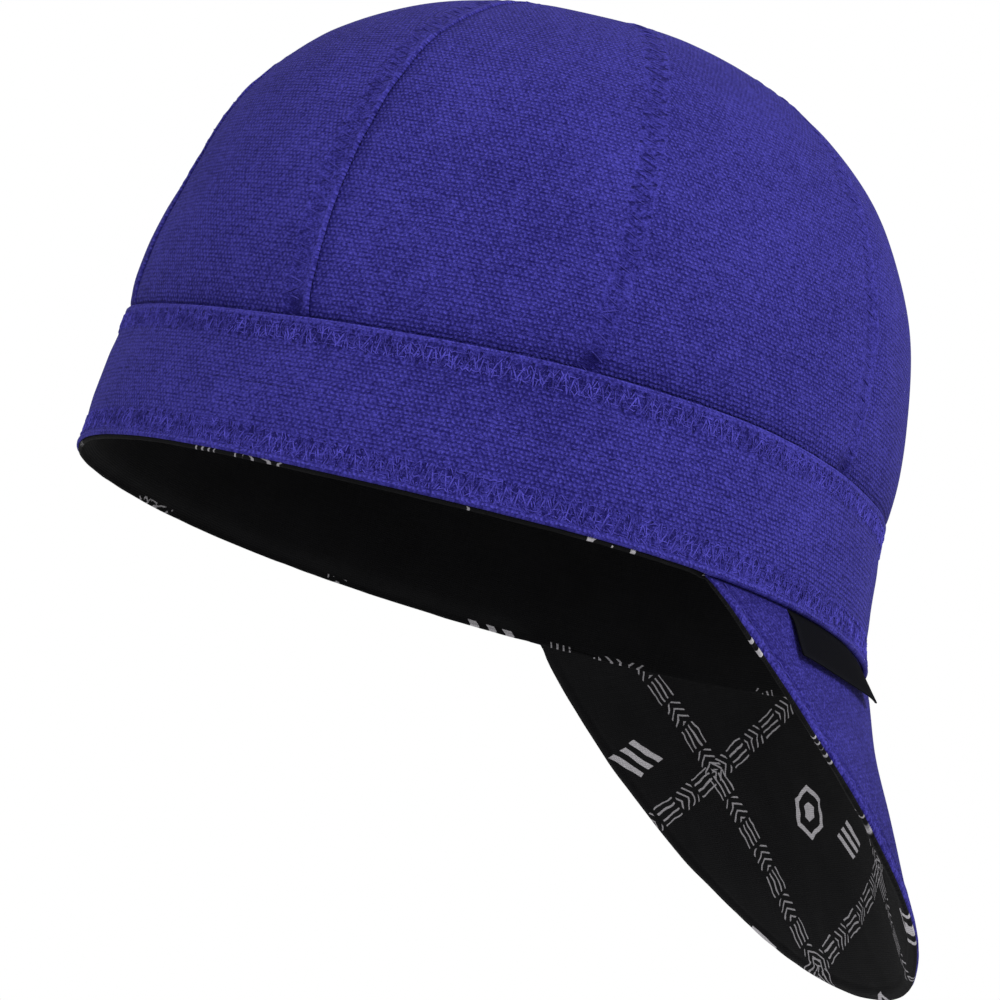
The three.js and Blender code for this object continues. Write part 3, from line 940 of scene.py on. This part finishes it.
def peak_cover():
    """The cover, and the line of its hem's stitches with its outward ways."""
    turn, reach = PEAK_TURNS[None, :], PEAK_REACHES[:, None]
    skin, ways, depth, far, free = peak_lie(turn, reach, COVER_TRIM)
    hem = ridges(far, HEM_RIDGES) + 0.14 * puckers(skin) * bell(far - 3, 3.2)
    depth = depth - hem * free
    tuck_level = TUCK_SHARES[:, None] * tuck_height(turn) / BAND_TOP
    tuck_skin, tuck_ways = cap_lie(turn, tuck_level)
    tuck_depth = np.broadcast_to(BEHIND_BAND - slack(cap_skin(turn, 0)), tuck_level.shape)
    skin, ways = np.vstack([skin, tuck_skin]), np.vstack([ways, tuck_ways])
    outer = inside(skin, ways, np.vstack([depth, tuck_depth]))
    inner = inside(skin, ways, np.vstack([depth + 0.3 * bell(far, 1.2), tuck_depth]) + COVER_WALL)
    # Colour: lighter by the free edge, partly wear and partly painted highlight; painted shade along the
    # hem's stitches, near the rim where the band's edge stands over the peak, and on the part tucked behind
    # the band.
    wear_and_painted_light = np.vstack([ridges(far, HEM_WEAR_AND_PAINTED_LIGHT) - 0.5 * (1 - free), np.full(tuck_level.shape, -0.5)])
    piece = cloth_wall("peak_cover_cloth", outer, inner, peak_uv(outer),
                       values={"wear_and_painted_light": wear_and_painted_light, "across": UNSEWN})
    return piece, *hem_line(far, outer[:len(far)], ways[:len(far)])


def hem_line(far, face, ways):
    """The line of the hem's stitches, with its outward ways."""
    line, up = [], []
    for column in range(face.shape[1]):
        run = np.maximum.accumulate(far[:, column])
        if run[-1] < HEM_LINE + 0.3:
            continue
        at = np.interp(HEM_LINE, run, np.arange(len(run)))
        row, share = int(at), at - int(at)
        line.append(face[row, column] * (1 - share) + face[row + 1, column] * share)
        up.append(ways[row, column])
    return np.array(line), np.array(up)


def peak_lining():
    reaches = np.append(PEAK_REACHES[:-1], LAYER_GAP / PEAK_LENGTH)
    skin, ways, depth, far, free = peak_lie(PEAK_TURNS[None, :], reaches[:, None], LINING_TRIM)
    under = depth + LINING_UNDER + (LINING_DEPTH - BEHIND_BAND - LINING_UNDER) * (1 - free)
    outer_depth = under - 0.55 * bell(far, 0.9)
    sag = ridges(far, HEM_INSIDE) + 0.22 * np.abs(field(skin, 20 * MM, 12))
    inner_depth = under + LINING_WALL + sag * free - 0.35 * bell(far, 0.7)
    inner = inside(skin, ways, inner_depth)
    return cloth_wall("peak_lining_cloth", inside(skin, ways, outer_depth), inner, peak_uv(inner))


# Side tab. Its pairs are for its front end and its back end.

TAB_WALL = 0.55
TAB_TOP_TURNS = np.radians((33, 51.8))
TAB_LOW_TURNS = np.radians((26.2, 53.2))
TAB_DROPS = (11.3, 13.8)  # how far below the rim its free edge hangs
TAB_START = 0.25  # how far below the rim it starts


def side_tab():
    """A bare tape, sewn in at the rim and slanting to the front, whose lower edge stands off."""
    along, down = np.meshgrid(np.linspace(0, 1, 41), np.linspace(1, 0, 21))

    def from_ends(pair):
        return pair[0] + (pair[1] - pair[0]) * along

    turn = from_ends(TAB_TOP_TURNS) * (1 - down) + from_ends(TAB_LOW_TURNS) * down
    drop = (TAB_START + (from_ends(TAB_DROPS) - TAB_START) * down) * MM
    reach = drop / peak_length(turn)
    skin, ways = peak_skin(turn, reach), peak_outward(turn, reach)
    depth = BEHIND_BAND * (1 - swell(drop)) - slack(skin) * swell(drop)
    lift = 0.05 + 0.6 * ease(down, 0, 0.25) + 0.5 * down ** 2 + 0.9 * bell(along, 0.3) * down ** 2 \
        + 0.2 * np.sin(along * 7 + 1) * down
    from_edge = np.minimum(np.minimum(along, 1 - along) * 30, (1 - down) * 12)
    uv = np.stack([along * 31, (1 - down) * 13], -1)
    return cloth_wall("side_tab_tape", inside(skin, ways, depth - lift - TAB_WALL),
                      inside(skin, ways, depth - lift), uv, values={"wear_and_painted_light": bell(from_edge, 0.8) * 0.8})


# Stitches

SUNK_ENDS = 1.1  # how deep a stitch's ends sink, as a share of its thread's radius


def stitch_tree():
    """A zigzag of arched threads along guide edges, whose outward way is the attribute up.

    Sunk share is the share of every second stitch that has sunk out of sight in the cloth."""
    group = bpy.data.node_groups.new("zigzag_stitches", "GeometryNodeTree")
    sizes = ("Pitch", "Width", "Thread radius", "Rise", "Unevenness", "Sunk share")
    kinds = {"Guide": "Geometry", **dict.fromkeys(sizes, "Float"), "Seed": "Int", "Thread": "Material"}
    for name, kind in kinds.items():
        group.interface.new_socket(name, in_out="INPUT", socket_type="NodeSocket" + kind)
    group.interface.new_socket("Stitches", in_out="OUTPUT", socket_type="NodeSocketGeometry")
    tree = Tree(group)
    given = tree.add("NodeGroupInput").outputs
    pitch, width, radius, rise, uneven, sunk = (Number(tree, given[name]) for name in sizes)

    guide = tree.add("GeometryNodeMeshToCurve", inputs={0: given["Guide"]})
    steps = tree.add("GeometryNodeResampleCurve", {"mode": "LENGTH"},
                     {"Curve": guide, "Length": pitch})
    up = tree.add("GeometryNodeInputNamedAttribute", {"data_type": "FLOAT_VECTOR"}, {"Name": "up"})
    along = tree.add("GeometryNodeInputTangent")
    index = Number(tree, tree.add("GeometryNodeInputIndex").outputs[0])

    def chance(low, high, seed):
        node = tree.add("FunctionNodeRandomValue", {"data_type": "FLOAT"}, {2: low, 3: high})
        tree.nodes.links.new((Number(tree, given["Seed"]) + seed).socket, node.inputs["Seed"])
        return Number(tree, node.outputs[1])

    side = (index % 2.0) * 2.0 - 1.0
    lean = tree.maths("ARCTAN2", width, pitch) * side + chance(-1.0, 1.0, 1) * uneven
    frame_turn = tree.add("FunctionNodeAxesToRotation", {"primary_axis": "Z", "secondary_axis": "X"},
                          {0: up, 1: along})
    turn = tree.add("FunctionNodeEulerToRotation", inputs={0: tree.vector(0.0, 0.0, lean)})
    turned = tree.add("FunctionNodeRotateRotation", {"rotation_space": "LOCAL"},
                      {0: frame_turn, 1: turn})

    half = tree.maths("SQRT", pitch * pitch + width * width) * 0.5
    sunk_end = radius * -SUNK_ENDS
    leg = tree.add("GeometryNodeCurveQuadraticBezier", inputs={
        "Resolution": 3, "Start": tree.vector(half * -1.0, 0.0, sunk_end),
        "Middle": tree.vector(0.0, 0.0, rise * 2.0 - sunk_end), "End": tree.vector(half, 0.0, sunk_end)})
    ring = tree.add("GeometryNodeCurvePrimitiveCircle", inputs={"Resolution": 4, "Radius": radius})
    thread = tree.add("GeometryNodeCurveToMesh", inputs={
        "Curve": leg, "Profile Curve": ring, "Fill Caps": True})
    size = 1.0 + chance(-1.0, 0.7, 2) * uneven
    seen = tree.maths("MAXIMUM", index % 2.0, sunk < chance(0.0, 1.0, 4))
    legs = tree.add("GeometryNodeInstanceOnPoints", inputs={
        "Points": steps, "Selection": seen, "Instance": thread, "Rotation": turned,
        "Scale": tree.vector(size, 1.0, chance(0.7, 1.3, 3))})
    real = tree.add("GeometryNodeRealizeInstances", inputs={0: legs})
    smooth = tree.add("GeometryNodeSetShadeSmooth", inputs={0: real})
    colored = tree.add("GeometryNodeSetMaterial", inputs={0: smooth, "Material": given["Thread"]})
    tree.add("NodeGroupOutput", inputs={0: colored})
    return group


def guide_object(lines):
    """Edges along rows of points, each with its outward ways. A closed row joins its ends."""
    points, ups, edges = [], [], []
    for line, up, closed in lines:
        base = len(points)
        points.extend(line.tolist())
        ups.extend(up.tolist())
        edges.extend((base + i, base + i + 1) for i in range(len(line) - 1))
        if closed:
            edges.append((base + len(line) - 1, base))
    mesh = bpy.data.meshes.new("guide")
    mesh.from_pydata(points, edges, [])
    attribute = mesh.attributes.new("up", "FLOAT_VECTOR", "POINT")
    attribute.data.foreach_set("vector", np.asarray(ups, dtype=np.float32).ravel())
    return new_object("guide", mesh)


def stitch_row(lines, seed, pitch, width, radius, rise, uneven, sunk=0.0):
    """Lines that are sewn alike, and what the tree of stitches is given for them."""
    return lines, {"Pitch": pitch * MM, "Width": width * MM, "Thread radius": radius * MM,
                   "Rise": rise * MM, "Unevenness": uneven, "Sunk share": sunk, "Seed": seed}


def stitches(name, tree, thread, rows):
    """One piece of sewing thread, from rows of stitches."""
    joined = bmesh.new()
    for lines, given in rows:
        guide = guide_object(lines)
        modifier = guide.modifiers.new("stitches", "NODES")
        modifier.node_group = tree
        given["Thread"] = thread
        for item in tree.interface.items_tree:
            if item.name in given:
                modifier[item.identifier] = given[item.name]
        graph = bpy.context.evaluated_depsgraph_get()
        mesh = bpy.data.meshes.new_from_object(guide.evaluated_get(graph))
        joined.from_mesh(mesh)
        bpy.data.meshes.remove(mesh)
        bpy.data.objects.remove(guide)
    mesh = bpy.data.meshes.new(name)
    joined.to_mesh(mesh)
    joined.free()
    mesh.shade_smooth()
    dress(new_object(name, mesh), thread)


def band_sewing(middle, spread, seed):
    """A wide zigzag along the band, over four narrow passes of thread that lie beside each other."""
    wide = stitch_row([band_line(middle)], seed, BAND_PITCH, BAND_WIDTH, 0.2, 0.17, 0.2, 0.25)
    return [wide] + [stitch_row([band_line(middle + spread * (row - 1.5))], seed + row + 1,
                                0.72, 1.15, 0.15, 0.14, 1.1) for row in range(4)]


# Making the cap

tree = stitch_tree()
seam_lines = []
for number in range(GORES):
    piece, line, ways = gore(number)
    dress(piece, CROWN_CANVAS, [f"gore_{number + 1}"])
    seam_lines.append((line, ways, False))
dress(band(), BAND_CANVAS, ["band"])
dress(cap_lining(), CROWN_LINING, ["cap_lining"])
piece, hem, hem_ways = peak_cover()
dress(piece, PEAK_CANVAS, ["peak_cover"])
dress(peak_lining(), PRINTED_LINING, ["peak_lining"])
dress(side_tab(), TAB_TAPE, ["side_tab"])

stitches("crown_stitches", tree, SEAM_THREAD,
         [stitch_row(seam_lines, 11, SEAM_PITCH, SEAM_WIDTH, 0.17, 0.16, 0.08, 0.85)])
stitches("band_top_stitches", tree, BAND_THREAD, band_sewing(UPPER_LINE, 1.15, 20))
stitches("band_rim_stitches", tree, BAND_THREAD, band_sewing(LOWER_LINE, 1.5, 30))
stitches("peak_stitches", tree, SEAM_THREAD,
         [stitch_row([(hem, hem_ways, False)], 41, HEM_PITCH, HEM_WIDTH, 0.17, 0.12, 0.03)])


# Camera, light and floor

FRAME, FOCAL = 1000, 4097.1  # in pixels
ORIGIN_AT = (467.6, 566.3)  # the pixel at which the camera sees the middle of the rim
LOOK_TURN, LOOK_RISE, LOOK_ROLL = radians(78.28), radians(-9.513), radians(15.783)
SENSOR = 36

back = Vector((sin(LOOK_TURN) * cos(LOOK_RISE), -cos(LOOK_TURN) * cos(LOOK_RISE), sin(LOOK_RISE)))
level_right = (-back).cross(Vector((0, 0, 1))).normalized()
level_up = level_right.cross(-back)
right = level_right * cos(LOOK_ROLL) + level_up * sin(LOOK_ROLL)
above = level_up * cos(LOOK_ROLL) - level_right * sin(LOOK_ROLL)
axis = (-back + right * ((FRAME / 2 - ORIGIN_AT[0]) / FOCAL)
        + above * ((ORIGIN_AT[1] - FRAME / 2) / FOCAL)).normalized()
right = (right - axis * right.dot(axis)).normalized()
above = right.cross(axis)

lens = bpy.data.cameras.new("camera")
lens.sensor_width = SENSOR
lens.lens = FOCAL * SENSOR / FRAME
lens.clip_start, lens.clip_end = 0.01, 50
camera = new_object("camera", lens)
place = Matrix((right, above, -axis)).transposed().to_4x4()
place.translation = back
camera.matrix_world = place
bpy.context.scene.camera = camera


def area_light(name, way, distance, size, power):
    """A soft light, placed along a way of the camera's right, up and back, aimed at the cap."""
    light = bpy.data.lights.new(name, "AREA")
    light.shape, light.size, light.energy = "SQUARE", size, power
    target = Vector((0, 0.01, 0.03))
    offset = (right * way[0] + above * way[1] - axis * way[2]).normalized() * distance
    facing = offset.to_track_quat("Z", "Y").to_matrix().to_4x4()
    new_object(name, light).matrix_world = Matrix.Translation(target + offset) @ facing


area_light("key_light", (1.0, 0.8, 0.65), 1.6, 0.9, 23.5)
area_light("fill_light", (-1.0, 0.7, 0.7), 1.8, 1.2, 11)

# The surroundings light the cap softly and look white behind it
world = bpy.data.worlds.new("studio")
world.use_nodes = True
studio = Tree(world.node_tree)
studio.nodes.nodes.clear()
soft, white = (studio.add("ShaderNodeBackground", inputs={"Color": (1, 1, 1, 1), "Strength": strength})
               for strength in (0.43, 1.0))
seen = studio.add("ShaderNodeLightPath").outputs["Is Camera Ray"]
both = studio.add("ShaderNodeMixShader", inputs={0: seen, 1: soft, 2: white})
studio.add("ShaderNodeOutputWorld", inputs={"Surface": both})
bpy.context.scene.world = world
bpy.context.scene.view_settings.view_transform = "Standard"

FLOOR_SIDE, FLOOR_HEIGHT = 3.0, -0.45
floor = object_from("floor", [(x * FLOOR_SIDE, y * FLOOR_SIDE, FLOOR_HEIGHT)
                              for x, y in ((-1, -1), (1, -1), (1, 1), (-1, 1))], [(0, 1, 2, 3)])
floor.data.materials.append(floor_finish())
